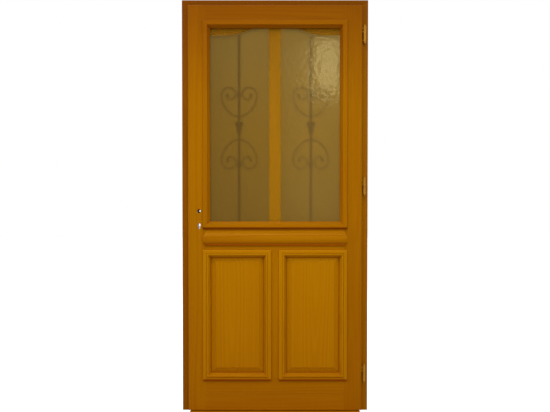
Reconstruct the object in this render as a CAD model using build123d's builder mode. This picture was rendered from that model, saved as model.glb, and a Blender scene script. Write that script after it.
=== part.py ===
from build123d import *
import os

# Glazed wooden front door, seen from the room: X runs along the wall, Y outwards, Z up.
# The origin is on the wall face of the hinge jamb, at floor level and half the frame's depth.

# Leaf
leaf_width = 896
leaf_height = 2090
leaf_thickness = 58
stile_width = 92
lip_width = 16
lip_thickness = 28
arris_radius = 3

# Frame
frame_margin = 35
frame_depth = 66
stop_width = 16
lip_gap = 5
side_gap = 7
seal_gap = 10
seal_width = 8
seal_bulb = 5
seal_root = 4
seal_round = 2.5

# Threshold
threshold_plate = 7
foot_gap = 5
threshold_nose = 24
threshold_lip = 2
upstand_height = 22
upstand_width = 12
sill_reach = 30
sill_edge = 12

# Rails and panels
bottom_rail_height = 170
plank_joint_height = 83
plank_joint_width = 2
lock_rail_above_foot = 816
lock_rail_height = 142
top_rail_height = 95
muntin_width = 70
groove_depth = 11
groove_width = 12
groove_play = 1
panel_margin_depth = 17
panel_field_depth = 7
panel_step = 2
panel_bevel = 27

# Mouldings round the panels
moulding_width = 38
moulding_lap = 16
moulding_edge = 7
ovolo_width = 15
ovolo_proud = 11
quirk_width = 3
quirk_depth = 2.5
roll_width = 12
roll_proud = 12
roll_heel = 5
moulding_heel = 6

# Glazing
bead_width = 37
bead_lap = 17
bead_proud = 9
bead_flat = 24
glass_depth = 20
glass_thickness = 6
glass_play = 2
seat_width = 14
mullion_width = 62
mullion_chamfer = 5
crown_seat = 12
arch_rise = 44
arch_run = 220
crown_half = 42

# Moulded band on the lock rail, with its profile returned at both ends
band_gap_below = 23
band_gap_above = 9
band_proud = 17
band_fillet = 7
band_fillet_height = 5
band_cove = 5
band_cove_height = 11
band_step = 2.5
band_shoulder = 14.5
band_hollow_height = 26
band_lip = 4
band_lip_height = 3

# Weather bar on the outer face
weather_bar_foot = 18
weather_bar_height = 55
weather_bar_edge = 14
weather_bar_reach = 32
weather_bar_inset = 10

# Wrought iron grilles
bar_width = 12
bar_socket = 12
bar_top_socket = 30
knot_drop = 517
knot_radius = 14
knot_half = 42
collar_width = 40
collar_height = 20
collar_depth = 18
bar_beads = ((274, 9, 8), (171, 10.5, 21), (-191, 13, 15))
scroll_start = 56.5
scroll_slope = 12
scroll_turns = ((116, 78), (40, 90), (34, 90), (28, 90), (16, 110))
scroll_thickness = 5
scroll_depth = 12
bud_radius = 7

# Lock
backset = 40
spindle_height = 1032
cylinder_drop = 72
handle_hole = 20
follower_bore = 18
follower_play = 0.1
spindle_square = 8
case_depth = 64
case_thickness = 15
case_above = 50
case_below = 45
forend_width = 20
forend_height = 235
forend_thickness = 3
cylinder_radius = 8.5
cylinder_web = 10
cylinder_height = 33
bolt_thickness = 12
bolt_height = 30
bolt_length = 22
bolt_play = 0.2
bolt_above_cylinder = 30
strike_play = 1
strike_width = 22
strike_height = 170
strike_thickness = 2.5
strike_pocket = 15

# Hinges
bottom_hinge_height = 186
middle_hinge_height = 1159
top_hinge_drop = 145
hinge_offset = 15
hinge_axis_depth = 18
barrel_radius = 8
barrel_half = 40
knuckle_gap = 1
neck_height = 2
neck_radius = 4.4
finial_radius = 5.2
pin_radius = 4.5
pin_play = 0.05
pin_length = 30
stud_radius = 4
stud_play = 0.1
stud_grip = 28
stud_places = (12, 30)

# Places that follow from the sizes
leaf_right = -frame_margin
leaf_left = leaf_right - leaf_width
leaf_middle = (leaf_left + leaf_right) / 2
frame_left = leaf_left - frame_margin
frame_front = -frame_depth / 2
frame_back = frame_depth / 2
leaf_front = frame_front - lip_gap - lip_thickness
leaf_back = leaf_front + leaf_thickness
lip_back = leaf_front + lip_thickness
stop_face = leaf_back + seal_gap
leaf_bottom = threshold_plate + foot_gap
leaf_top = leaf_bottom + leaf_height
frame_top = leaf_top + frame_margin
body_left = leaf_left + lip_width
body_right = leaf_right - lip_width
body_top = leaf_top - lip_width
rebate_left = body_left - side_gap
rebate_right = body_right + side_gap
rebate_top = body_top + side_gap
stop_left = rebate_left + stop_width
stop_right = rebate_right - stop_width
stop_top = rebate_top - stop_width
stile_left = leaf_left + stile_width
stile_right = leaf_right - stile_width
muntin_left = leaf_middle - muntin_width / 2
muntin_right = leaf_middle + muntin_width / 2
panel_bottom = leaf_bottom + bottom_rail_height
panel_top = leaf_bottom + lock_rail_above_foot
glass_bottom = panel_top + lock_rail_height
glass_top = leaf_top - top_rail_height
glass_front = leaf_front + glass_depth
glass_back = glass_front + glass_thickness
seat_left = stile_left + seat_width
seat_right = stile_right - seat_width
seat_top = glass_bottom + seat_width
crown_z = glass_top - crown_seat
shoulder_z = crown_z - arch_rise
leaf_core = (leaf_front + leaf_back) / 2
grille_y = (glass_back + leaf_back) / 2
knot_z = crown_z - knot_drop
light_middle = (mullion_width / 2 + seat_right - leaf_middle) / 2
body_core = (lip_back + leaf_back) / 2
spindle_x = body_left + backset
spindle_z = leaf_bottom + spindle_height
cylinder_z = spindle_z - cylinder_drop
case_top = spindle_z + case_above
case_bottom = cylinder_z - case_below
case_middle = (case_top + case_bottom) / 2
axis_x = leaf_right + hinge_offset
axis_y = leaf_front + hinge_axis_depth
bolt_levels = (spindle_z, cylinder_z + bolt_above_cylinder)
hinge_levels = (leaf_bottom + bottom_hinge_height, leaf_bottom + middle_hinge_height, leaf_top - top_hinge_drop)
axis_line = Axis((axis_x, axis_y, 0), (0, 0, 1))

os.makedirs("parts", exist_ok=True)


def finish(builder, name):
    """Label one piece and write it."""
    builder.part.label = name
    export_step(builder.part, f"parts/{name}.step")


def between(left, right, bottom, top, mode=Mode.ADD):
    """Draw a rectangle by its four sides in the active sketch."""
    with Locations(((left + right) / 2, (bottom + top) / 2)):
        Rectangle(right - left, top - bottom, mode=mode)


def block(left, right, front, back, bottom, top, mode=Mode.ADD):
    """Add or cut a block by its six sides in the active part."""
    with BuildSketch(Plane.XZ.offset(-back)) as face:
        between(left, right, bottom, top)
    extrude(face.sketch, amount=back - front, mode=mode)


def outline(*points):
    """Fill a straight-sided outline in the active sketch."""
    Polygon(*points, align=None)


# Frame members share one rebated section, mitred at the top corners


def frame_section(outer, rebate, stop):
    """Draw a frame member's section, with its first axis across the member."""
    outline(
        (outer, frame_front),
        (rebate, frame_front),
        (rebate, stop_face),
        (stop, stop_face),
        (stop, frame_back),
        (outer, frame_back),
    )
    groove = (rebate + stop) / 2
    between(groove - seal_root / 2, groove + seal_root / 2, stop_face, stop_face + seal_root, Mode.SUBTRACT)


def front_edges():
    """The edges of the active part that lie in its foremost plane, towards the room."""
    return edges().group_by(Axis.Y)[0]


def bolt_blocks(left, right, play, mode=Mode.ADD):
    """Add or cut a block for the latch and one for the bolt below it."""
    for level in bolt_levels:
        block(
            left,
            right,
            body_core - bolt_thickness / 2 - play,
            body_core + bolt_thickness / 2 + play,
            level - bolt_height / 2 - play,
            level + bolt_height / 2 + play,
            mode,
        )


def stud_holes_in_jamb():
    """Drill the hinge studs' holes into the face of the hinge jamb."""
    with BuildSketch(Plane.XZ.offset(-frame_front)) as holes:
        for level in hinge_levels:
            for place in stud_places:
                with Locations((axis_x, level - place)):
                    Circle(stud_radius + stud_play)
    extrude(holes.sketch, amount=-(stud_grip + stud_play), mode=Mode.SUBTRACT)


with BuildPart() as hinge_jamb:
    with BuildSketch(Plane.XY):
        frame_section(0, rebate_right, stop_right)
    extrude(amount=frame_top)
    split(bisect_by=Plane(origin=(0, 0, frame_top), z_dir=(1, 0, -1)), keep=Keep.TOP)
    fillet(front_edges().filter_by(Axis.Z).sort_by(Axis.X)[0], arris_radius)
    stud_holes_in_jamb()
finish(hinge_jamb, "hinge_jamb")

strike_front = body_core - strike_width / 2
strike_back = body_core + strike_width / 2
strike_bottom = case_middle - strike_height / 2
strike_top = case_middle + strike_height / 2

with BuildPart() as lock_jamb:
    with BuildSketch(Plane.XY):
        frame_section(frame_left, rebate_left, stop_left)
    extrude(amount=frame_top)
    split(bisect_by=Plane(origin=(frame_left, 0, frame_top), z_dir=(-1, 0, -1)), keep=Keep.TOP)
    fillet(front_edges().filter_by(Axis.Z).sort_by(Axis.X)[-1], arris_radius)
    strike_bed = rebate_left - strike_thickness
    block(strike_bed, rebate_left, strike_front, strike_back, strike_bottom, strike_top, Mode.SUBTRACT)
    bolt_blocks(strike_bed - strike_pocket, rebate_left, strike_play, Mode.SUBTRACT)
finish(lock_jamb, "lock_jamb")

with BuildPart() as frame_head:
    with BuildSketch(Plane.YZ.offset(frame_left)):
        outline(
            (frame_front, frame_top),
            (frame_front, rebate_top),
            (stop_face, rebate_top),
            (stop_face, stop_top),
            (frame_back, stop_top),
            (frame_back, frame_top),
        )
        groove_z = (rebate_top + stop_top) / 2
        between(
            stop_face,
            stop_face + seal_root,
            groove_z - seal_root / 2,
            groove_z + seal_root / 2,
            Mode.SUBTRACT,
        )
    extrude(amount=-frame_left)
    split(bisect_by=Plane(origin=(0, 0, frame_top), z_dir=(-1, 0, 1)), keep=Keep.TOP)
    split(bisect_by=Plane(origin=(frame_left, 0, frame_top), z_dir=(1, 0, 1)), keep=Keep.TOP)
    fillet(front_edges().filter_by(Axis.X).sort_by(Axis.Z)[0], arris_radius)
finish(frame_head, "frame_head")

# The seal lies in the groove of the stops and stays clear of the leaf

seal_left = (rebate_left + stop_left) / 2
seal_right = (rebate_right + stop_right) / 2
seal_top = (rebate_top + stop_top) / 2
seal_foot = upstand_height

with BuildPart() as frame_seal:
    with BuildSketch(Plane.XZ.offset(-stop_face)):
        between(seal_left - seal_width / 2, seal_right + seal_width / 2, seal_foot, seal_top + seal_width / 2)
        between(
            seal_left + seal_width / 2,
            seal_right - seal_width / 2,
            seal_foot,
            seal_top - seal_width / 2,
            Mode.SUBTRACT,
        )
    extrude(amount=seal_bulb)
    fillet(faces().sort_by(Axis.Y)[0].edges(), seal_round)
    with BuildSketch(Plane.XZ.offset(-stop_face)):
        between(seal_left - seal_root / 2, seal_right + seal_root / 2, seal_foot, seal_top + seal_root / 2)
        between(
            seal_left + seal_root / 2,
            seal_right - seal_root / 2,
            seal_foot,
            seal_top - seal_root / 2,
            Mode.SUBTRACT,
        )
    extrude(amount=-seal_root)
finish(frame_seal, "frame_seal")

# Threshold: a low plate under the leaf, an upstand behind it and a sloping outer sill

plate_nose = leaf_front - threshold_nose
sill_nose = frame_back + sill_reach
upstand_back = stop_face + upstand_width

with BuildPart() as threshold:
    with BuildSketch(Plane.YZ.offset(rebate_left)):
        outline(
            (plate_nose, 0),
            (plate_nose, threshold_lip),
            (plate_nose + threshold_plate, threshold_plate),
            (stop_face, threshold_plate),
            (stop_face, 0),
        )
    extrude(amount=rebate_right - rebate_left)
    with BuildSketch(Plane.YZ.offset(stop_left)):
        outline(
            (stop_face, 0),
            (stop_face, upstand_height),
            (upstand_back, upstand_height),
            (sill_nose, sill_edge),
            (sill_nose, 0),
        )
    extrude(amount=stop_right - stop_left)
finish(threshold, "threshold")

with BuildPart() as strike_plate:
    block(strike_bed, rebate_left, strike_front, strike_back, strike_bottom, strike_top)
    bolt_blocks(strike_bed, rebate_left, strike_play, Mode.SUBTRACT)
finish(strike_plate, "strike_plate")

# Leaf: two stiles, three rails, a muntin and an outer mullion


def panel_groove(left, right, bottom, top):
    """Cut the groove that holds a panel's tongue."""
    block(
        left,
        right,
        leaf_core - groove_width / 2,
        leaf_core + groove_width / 2,
        bottom,
        top,
        Mode.SUBTRACT,
    )


def stile(outer, inner, body_edge, seat_edge):
    """Add a stile with its lip, its glass rebate and its panel groove to the active part."""
    left, right = min(outer, inner), max(outer, inner)
    block(left, right, leaf_front, leaf_back, leaf_bottom, leaf_top)
    block(
        min(outer, body_edge),
        max(outer, body_edge),
        lip_back,
        leaf_back,
        leaf_bottom,
        leaf_top,
        Mode.SUBTRACT,
    )
    block(left, right, lip_back, leaf_back, body_top, leaf_top, Mode.SUBTRACT)
    block(min(inner, seat_edge), max(inner, seat_edge), glass_back, leaf_back, glass_bottom, shoulder_z)
    towards_edge = groove_depth if outer > inner else -groove_depth
    panel_groove(
        min(inner, inner + towards_edge),
        max(inner, inner + towards_edge),
        panel_bottom - groove_depth,
        panel_top + groove_depth,
    )
    foremost = front_edges()
    side_arris = foremost.filter_by(Axis.Z).sort_by(Axis.X)[-1 if outer > inner else 0]
    top_arris = foremost.filter_by(Axis.X).sort_by(Axis.Z)[-1]
    fillet([side_arris, top_arris], arris_radius)


def cylinder_hole(mode=Mode.ADD):
    """Draw the cylinder's profile in a sketch centred on its round part."""
    Circle(cylinder_radius, mode=mode)
    drop = cylinder_height - 2 * cylinder_radius
    with Locations((0, -drop)):
        Circle(cylinder_web / 2, mode=mode)
    with Locations((0, -drop / 2)):
        Rectangle(cylinder_web, drop, mode=mode)


def facing_room(x, z, depth):
    """A plane at one depth that looks into the room, with its origin at a place on the leaf."""
    return Plane(origin=(x, depth, z), x_dir=(1, 0, 0), z_dir=(0, -1, 0))


case_left = body_left + forend_thickness
case_right = body_left + case_depth
case_front = body_core - case_thickness / 2
case_back = body_core + case_thickness / 2
forend_front = body_core - forend_width / 2
forend_back = body_core + forend_width / 2
forend_bottom = case_middle - forend_height / 2
forend_top = case_middle + forend_height / 2

with BuildPart() as lock_stile:
    stile(leaf_left, stile_left, body_left, seat_left)
    block(case_left, case_right, case_front, case_back, case_bottom, case_top, Mode.SUBTRACT)
    block(body_left, case_left, forend_front, forend_back, forend_bottom, forend_top, Mode.SUBTRACT)
    with BuildSketch(facing_room(spindle_x, spindle_z, leaf_back)):
        Circle(handle_hole / 2)
    extrude(amount=leaf_thickness, mode=Mode.SUBTRACT)
    with BuildSketch(facing_room(spindle_x, cylinder_z, leaf_back)):
        cylinder_hole()
    extrude(amount=leaf_thickness, mode=Mode.SUBTRACT)
finish(lock_stile, "lock_stile")

with BuildPart() as hinge_stile:
    stile(leaf_right, stile_right, body_right, seat_right)
    with BuildSketch(Plane.YZ.offset(leaf_right)):
        for level in hinge_levels:
            for place in stud_places:
                with Locations((axis_y, level + place)):
                    Circle(stud_radius + stud_play)
    extrude(amount=-(stud_grip + stud_play), mode=Mode.SUBTRACT)
finish(hinge_stile, "hinge_stile")

bar_places = (leaf_middle - light_middle, leaf_middle + light_middle)
bar_foot = seat_top - bar_socket
bar_head = shoulder_z + bar_top_socket


def bar_sockets(bottom, top):
    """Cut the sockets that hold the ends of the grilles' bars."""
    for place in bar_places:
        block(
            place - bar_width / 2,
            place + bar_width / 2,
            grille_y - bar_width / 2,
            grille_y + bar_width / 2,
            bottom,
            top,
            Mode.SUBTRACT,
        )


def arch_half(side):
    """Draw one shouldered half of the arched lower edge, from the crown to the shoulder."""
    crown = (leaf_middle + side * crown_half, crown_z)
    turn = (leaf_middle + side * (crown_half + arch_run / 2), shoulder_z + arch_rise / 2)
    shoulder = (leaf_middle + side * (crown_half + arch_run), shoulder_z)
    TangentArc(crown, turn, tangent=(side, 0))
    TangentArc(shoulder, turn, tangent=(-side, 0))


with BuildPart() as top_rail:
    block(stile_left, stile_right, leaf_front, leaf_back, glass_top, leaf_top)
    block(stile_left, stile_right, lip_back, leaf_back, body_top, leaf_top, Mode.SUBTRACT)
    with BuildSketch(Plane.XZ.offset(-leaf_back)):
        with BuildLine():
            arch_half(-1)
            arch_half(1)
            Line((leaf_middle - crown_half, crown_z), (leaf_middle + crown_half, crown_z))
            Polyline(
                (leaf_middle - crown_half - arch_run, shoulder_z),
                (stile_left, shoulder_z),
                (stile_left, glass_top),
                (stile_right, glass_top),
                (stile_right, shoulder_z),
                (leaf_middle + crown_half + arch_run, shoulder_z),
            )
        make_face()
    extrude(amount=leaf_back - glass_back)
    bar_sockets(shoulder_z, bar_head)
    fillet(front_edges().filter_by(Axis.X).sort_by(Axis.Z)[-1], arris_radius)
finish(top_rail, "top_rail")

with BuildPart() as lock_rail:
    block(stile_left, stile_right, leaf_front, leaf_back, panel_top, glass_bottom)
    block(seat_left, seat_right, glass_back, leaf_back, glass_bottom, seat_top)
    panel_groove(stile_left, muntin_left + groove_depth, panel_top, panel_top + groove_depth)
    panel_groove(muntin_right - groove_depth, stile_right, panel_top, panel_top + groove_depth)
    bar_sockets(bar_foot, seat_top)
finish(lock_rail, "lock_rail")

with BuildPart() as bottom_rail:
    block(stile_left, stile_right, leaf_front, leaf_back, leaf_bottom, panel_bottom)
    panel_groove(stile_left, muntin_left + groove_depth, panel_bottom - groove_depth, panel_bottom)
    panel_groove(muntin_right - groove_depth, stile_right, panel_bottom - groove_depth, panel_bottom)
    joint_z = leaf_bottom + plank_joint_height
    for face in (leaf_front, leaf_back):
        with BuildSketch(Plane.YZ.offset(stile_left)):
            with Locations((face, joint_z)):
                Rectangle(plank_joint_width, plank_joint_width, rotation=45)
        extrude(amount=stile_right - stile_left, mode=Mode.SUBTRACT)
finish(bottom_rail, "bottom_rail")

with BuildPart() as muntin:
    block(muntin_left, muntin_right, leaf_front, leaf_back, panel_bottom, panel_top)
    panel_groove(muntin_left, muntin_left + groove_depth, panel_bottom, panel_top)
    panel_groove(muntin_right - groove_depth, muntin_right, panel_bottom, panel_top)
finish(muntin, "muntin")

with BuildPart() as mullion:
    block(
        leaf_middle - mullion_width / 2,
        leaf_middle + mullion_width / 2,
        glass_back,
        leaf_back,
        seat_top,
        crown_z,
    )
    chamfer(edges().filter_by(Axis.Z).group_by(Axis.Y)[-1], mullion_chamfer)
finish(mullion, "mullion")

# Raised and fielded panels, the same on both faces


def panel_relief(middle_x, middle_z, opening_width, opening_height):
    """Add the bevel and the raised field of a panel on its room side."""
    inset = moulding_width - moulding_lap
    margin_y = leaf_front + panel_margin_depth
    field_y = leaf_front + panel_field_depth
    bevel_y = field_y + panel_step
    bevel_width = opening_width - 2 * inset
    bevel_height = opening_height - 2 * inset
    field_width = bevel_width - 2 * panel_bevel
    field_height = bevel_height - 2 * panel_bevel
    with BuildSketch(facing_room(middle_x, middle_z, margin_y)) as margin:
        Rectangle(bevel_width, bevel_height)
    with BuildSketch(facing_room(middle_x, middle_z, bevel_y)) as field:
        Rectangle(field_width, field_height)
    loft([margin.sketch.face(), field.sketch.face()])
    extrude(field.sketch, amount=panel_step)


def panel(left, right):
    """Make one panel between two upright members."""
    tongue = groove_depth - groove_play
    margin_y = leaf_front + panel_margin_depth
    with BuildPart() as made:
        block(
            left - tongue,
            right + tongue,
            leaf_core - groove_width / 2,
            leaf_core + groove_width / 2,
            panel_bottom - tongue,
            panel_top + tongue,
        )
        block(left, right, margin_y, leaf_core, panel_bottom, panel_top)
        panel_relief((left + right) / 2, (panel_bottom + panel_top) / 2, right - left, panel_top - panel_bottom)
        mirror(about=Plane.XZ.offset(-leaf_core))
    return made


left_panel = panel(stile_left, muntin_left)
finish(left_panel, "left_panel")
right_panel = panel(muntin_right, stile_right)
finish(right_panel, "right_panel")

# Mouldings are lengths of one section, mitred where they meet at the corners


def panel_moulding_section():
    """Draw the bolection section: across from its outer edge, and out from the face of the leaf."""
    roll_start = ovolo_width + quirk_width
    roll_foot = ovolo_proud - quirk_depth
    with BuildLine() as edge:
        Line((0, 0), (0, moulding_edge))
        TangentArc((ovolo_width, ovolo_proud), (0, moulding_edge), tangent=(-1, 0))
        Polyline((ovolo_width, ovolo_proud), (roll_start, ovolo_proud), (roll_start, roll_foot))
        ThreePointArc(
            (roll_start, roll_foot),
            (roll_start + roll_width / 2, roll_proud),
            (roll_start + roll_width, roll_heel),
        )
        Polyline(
            (roll_start + roll_width, roll_heel),
            (moulding_width, -moulding_heel),
            (moulding_width, -panel_margin_depth),
            (moulding_lap, -panel_margin_depth),
            (moulding_lap, 0),
            (0, 0),
        )
    make_face(edge.edges())


def glazing_bead_section():
    """Draw the bevelled bead that laps the face and holds the glass."""
    with BuildLine() as edge:
        Line((0, 0), (0, bead_proud - arris_radius))
        TangentArc((0, bead_proud - arris_radius), (arris_radius, bead_proud), tangent=(0, 1))
        Polyline(
            (arris_radius, bead_proud),
            (bead_flat, bead_proud),
            (bead_width, -bead_proud),
            (bead_width, -glass_depth),
            (bead_lap, -glass_depth),
            (bead_lap, 0),
            (0, 0),
        )
    make_face(edge.edges())


def mitred_length(middle, inward, outward, reach, length, draw_section):
    """Make one length of moulding, cut at 45 degrees at both ends.

    The outer edge lies at the distance reach from the middle, away from inward.
    """
    along = inward.cross(outward)
    start = middle - inward * reach - along * (length / 2)
    end = start + along * length
    with BuildPart() as bar:
        with BuildSketch(Plane(origin=start, x_dir=inward, z_dir=along)):
            draw_section()
        extrude(amount=length)
        split(bisect_by=Plane(origin=start, z_dir=along - inward), keep=Keep.TOP)
        split(bisect_by=Plane(origin=end, z_dir=-along - inward), keep=Keep.TOP)
    return bar.part


def moulding_pair(name, box, face, outward, upright, draw_section):
    """Write the two facing lengths of a mitred frame as one node."""
    left, right, bottom, top = box
    middle = Vector((left + right) / 2, face, (bottom + top) / 2)
    width = right - left
    height = top - bottom
    if upright:
        inwards, reach, length = (Vector(1, 0, 0), Vector(-1, 0, 0)), width / 2, height
    else:
        inwards, reach, length = (Vector(0, 0, 1), Vector(0, 0, -1)), height / 2, width
    lengths = [mitred_length(middle, way, outward, reach, length, draw_section) for way in inwards]
    with BuildPart() as pair:
        add(lengths)
    finish(pair, name)


to_room = Vector(0, -1, 0)
to_street = Vector(0, 1, 0)
left_box = (
    stile_left - moulding_lap,
    muntin_left + moulding_lap,
    panel_bottom - moulding_lap,
    panel_top + moulding_lap,
)
right_box = (
    muntin_right - moulding_lap,
    stile_right + moulding_lap,
    panel_bottom - moulding_lap,
    panel_top + moulding_lap,
)
for panel_name, box in (("left", left_box), ("right", right_box)):
    for side_name, face, outward in (("inside", leaf_front, to_room), ("outside", leaf_back, to_street)):
        for run_name, upright in (("uprights", True), ("crosspieces", False)):
            moulding_pair(
                f"{panel_name}_moulding_{side_name}_{run_name}",
                box,
                face,
                outward,
                upright,
                panel_moulding_section,
            )

bead_box = (
    stile_left - bead_lap,
    stile_right + bead_lap,
    glass_bottom - bead_lap,
    glass_top + bead_lap,
)
moulding_pair("glazing_bead_uprights", bead_box, leaf_front, to_room, True, glazing_bead_section)
moulding_pair("glazing_bead_crosspieces", bead_box, leaf_front, to_room, False, glazing_bead_section)

with BuildPart() as glass:
    block(
        stile_left + glass_play,
        stile_right - glass_play,
        glass_front,
        glass_back,
        glass_bottom + glass_play,
        glass_top - glass_play,
    )
finish(glass, "glass")

# The band is one section run across the lock rail, and the ends have the same profile

band_foot = panel_top + moulding_lap + band_gap_below
band_top = glass_bottom - bead_lap - band_gap_above
band_left = stile_left - moulding_lap
band_right = stile_right + moulding_lap


def band_profile(plane):
    """Draw the band's profile: out along the first axis of the plane, and up along the second."""
    height = band_top - band_foot
    cove_start = Vector(band_fillet, band_fillet_height)
    cove_end = cove_start + Vector(band_cove, band_cove_height)
    belly_start = cove_end + Vector(band_step, 0)
    belly_end = Vector(band_shoulder, height - band_hollow_height)
    lip = Vector(band_lip, height - band_lip_height)
    with BuildSketch(plane) as profile:
        with BuildLine():
            Polyline((0, 0), (band_fillet, 0), cove_start)
            TangentArc(cove_start, cove_end, tangent=(0, 1))
            Line(cove_end, belly_start)
            ThreePointArc(belly_start, (band_proud, (belly_start.Y + belly_end.Y) / 2), belly_end)
            TangentArc(lip, belly_end, tangent=(0, -1))
            Polyline(lip, (band_lip, height), (0, height), (0, 0))
        make_face()
    return profile.sketch


def band(name, face, way):
    """Make one band, in line with the outer edges of the mouldings below it."""
    with BuildPart() as elevation:
        block(
            band_left + band_proud,
            band_right - band_proud,
            face - band_proud,
            face + band_proud,
            band_foot,
            band_top,
        )
        for end_x, side in ((band_left + band_proud, -1), (band_right - band_proud, 1)):
            end_plane = Plane(origin=(end_x, face, band_foot), x_dir=(side, 0, 0), z_dir=(0, -side, 0))
            extrude(band_profile(end_plane), amount=band_proud, both=True)
    with BuildPart() as made:
        front_plane = Plane(origin=(leaf_middle, face, band_foot), x_dir=(0, way, 0), z_dir=(way, 0, 0))
        extrude(band_profile(front_plane), amount=(band_right - band_left) / 2, both=True)
        add(elevation.part, mode=Mode.INTERSECT)
    finish(made, name)


band("inside_band", leaf_front, -1)
band("outside_band", leaf_back, 1)

bar_front = leaf_back
weather_left = stop_left + weather_bar_inset
weather_right = stop_right - weather_bar_inset
weather_z = leaf_bottom + weather_bar_foot

with BuildPart() as weather_bar:
    with BuildSketch(Plane.YZ.offset(weather_left)):
        with BuildLine():
            Polyline(
                (bar_front, weather_z + weather_bar_height),
                (bar_front, weather_z),
                (bar_front + weather_bar_reach, weather_z),
                (bar_front + weather_bar_reach, weather_z + weather_bar_edge),
            )
            RadiusArc(
                (bar_front + weather_bar_reach, weather_z + weather_bar_edge),
                (bar_front, weather_z + weather_bar_height),
                weather_bar_height,
            )
        make_face()
    extrude(amount=weather_right - weather_left)
finish(weather_bar, "weather_bar")

# Wrought iron: an upright bar with a knot, collars and two pairs of scrolls


def scroll_quarter():
    """Trace one scroll, up and outwards from the bar, in a sketch centred on the knot."""
    with BuildLine() as path:
        point = Vector(0, scroll_start)
        heading = Vector(1, 0).rotate(Axis.Z, scroll_slope)
        for radius, turn in scroll_turns:
            arc = JernArc(start=point, tangent=heading, radius=radius, arc_size=turn)
            point = arc @ 1
            heading = arc % 1
    trace(path.edges(), line_width=scroll_thickness)
    with Locations(point):
        Circle(bud_radius)


def turned(bar_x, middle, radius, half):
    """Add a turned swelling that grows out of the faces of the bar."""
    core = bar_width / 3
    with BuildSketch(facing_room(bar_x, middle, grille_y)) as half_section:
        with BuildLine():
            ThreePointArc((core, -half), (radius, 0), (core, half))
            Polyline((core, half), (0, half), (0, -half), (core, -half))
        make_face()
    revolve(half_section.sketch, axis=Axis((bar_x, grille_y, 0), (0, 0, 1)))


def grille(bar_x):
    """Make one grille round its upright bar."""
    with BuildPart() as iron:
        block(
            bar_x - bar_width / 2,
            bar_x + bar_width / 2,
            grille_y - bar_width / 2,
            grille_y + bar_width / 2,
            bar_foot,
            bar_head,
        )
        turned(bar_x, knot_z, knot_radius, knot_half)
        for rise, radius, half in bar_beads:
            turned(bar_x, knot_z + rise, radius, half)
        with BuildSketch(facing_room(bar_x, knot_z, grille_y + scroll_depth / 2)):
            scroll_quarter()
            mirror(about=Plane.YZ)
            mirror(about=Plane.XZ)
        extrude(amount=scroll_depth)
        with BuildSketch(facing_room(bar_x, knot_z + collar_height, grille_y + collar_depth / 2)):
            Rectangle(collar_width, collar_height)
        extrude(amount=collar_depth)
    return iron


left_grille = grille(bar_places[0])
finish(left_grille, "left_grille")
right_grille = grille(bar_places[1])
finish(right_grille, "right_grille")

# Mortise lock, its bolts drawn back flush with the forend


with BuildPart() as lock_case:
    block(case_left, case_right, case_front, case_back, case_bottom, case_top)
    bolt_blocks(case_left, case_left + bolt_length, bolt_play, Mode.SUBTRACT)
    with BuildSketch(facing_room(spindle_x, spindle_z, case_back)):
        Circle(follower_bore / 2)
    extrude(amount=case_thickness, mode=Mode.SUBTRACT)
    with BuildSketch(facing_room(spindle_x, cylinder_z, case_back)):
        cylinder_hole()
    extrude(amount=case_thickness, mode=Mode.SUBTRACT)
finish(lock_case, "lock_case")

with BuildPart() as lock_forend:
    block(body_left, case_left, forend_front, forend_back, forend_bottom, forend_top)
    bolt_blocks(body_left, case_left, bolt_play, Mode.SUBTRACT)
finish(lock_forend, "lock_forend")

with BuildPart() as lock_bolts:
    bolt_blocks(body_left, case_left + bolt_length - bolt_play, 0)
finish(lock_bolts, "lock_bolts")

with BuildPart() as lock_follower:
    with BuildSketch(facing_room(spindle_x, spindle_z, case_back)):
        Circle(follower_bore / 2 - follower_play)
        Rectangle(spindle_square, spindle_square, mode=Mode.SUBTRACT)
    extrude(amount=case_thickness)
finish(lock_follower, "lock_follower")

# Hinges: the lower half is on the frame and carries the pin


def knuckle_outline(way, inner):
    """Draw half of a hinge barrel with its finial, above or below the joint between the halves."""
    joint = way * knuckle_gap / 2
    shoulder = way * barrel_half
    neck = way * (barrel_half + neck_height)
    ball = neck + way * (finial_radius**2 - neck_radius**2) ** 0.5
    tip = ball + way * finial_radius
    bore_end = way * (pin_length + knuckle_gap) if inner > 0 else joint
    with BuildLine() as edge:
        Polyline((inner, joint), (barrel_radius, joint), (barrel_radius, shoulder), (neck_radius, neck))
        ThreePointArc((neck_radius, neck), (finial_radius, ball), (0, tip))
        Line((0, tip), (0, bore_end))
        if inner > 0:
            Polyline((0, bore_end), (inner, bore_end), (inner, joint))
    make_face(edge.edges())


def frame_half(name, joint_z):
    """Make the half of a hinge that is screwed into the frame, with the pin."""
    with BuildPart() as half:
        with BuildSketch(facing_room(axis_x, joint_z, axis_y)):
            knuckle_outline(-1, 0)
        revolve(axis=axis_line)
        with BuildSketch(Plane.XY.offset(joint_z - knuckle_gap / 2)):
            with Locations((axis_x, axis_y)):
                Circle(pin_radius)
        extrude(amount=pin_length)
        with BuildSketch(Plane.XZ.offset(-axis_y)):
            for place in stud_places:
                with Locations((axis_x, joint_z - place)):
                    Circle(stud_radius)
        extrude(amount=-(frame_front - axis_y + stud_grip))
    finish(half, name)


def leaf_half(name, joint_z):
    """Make the half of a hinge that is screwed into the leaf and turns on the pin."""
    bore = pin_radius + pin_play
    with BuildPart() as half:
        with BuildSketch(facing_room(axis_x, joint_z, axis_y)):
            knuckle_outline(1, bore)
        revolve(axis=axis_line)
        stud_start = axis_x - (bore + barrel_radius) / 2
        with BuildSketch(Plane.YZ.offset(stud_start)):
            for place in stud_places:
                with Locations((axis_y, joint_z + place)):
                    Circle(stud_radius)
        extrude(amount=-(stud_start - leaf_right + stud_grip))
    finish(half, name)


for place_name, level in zip(("bottom", "middle", "top"), hinge_levels):
    frame_half(f"{place_name}_hinge_frame_half", level)
    leaf_half(f"{place_name}_hinge_leaf_half", level)
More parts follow.
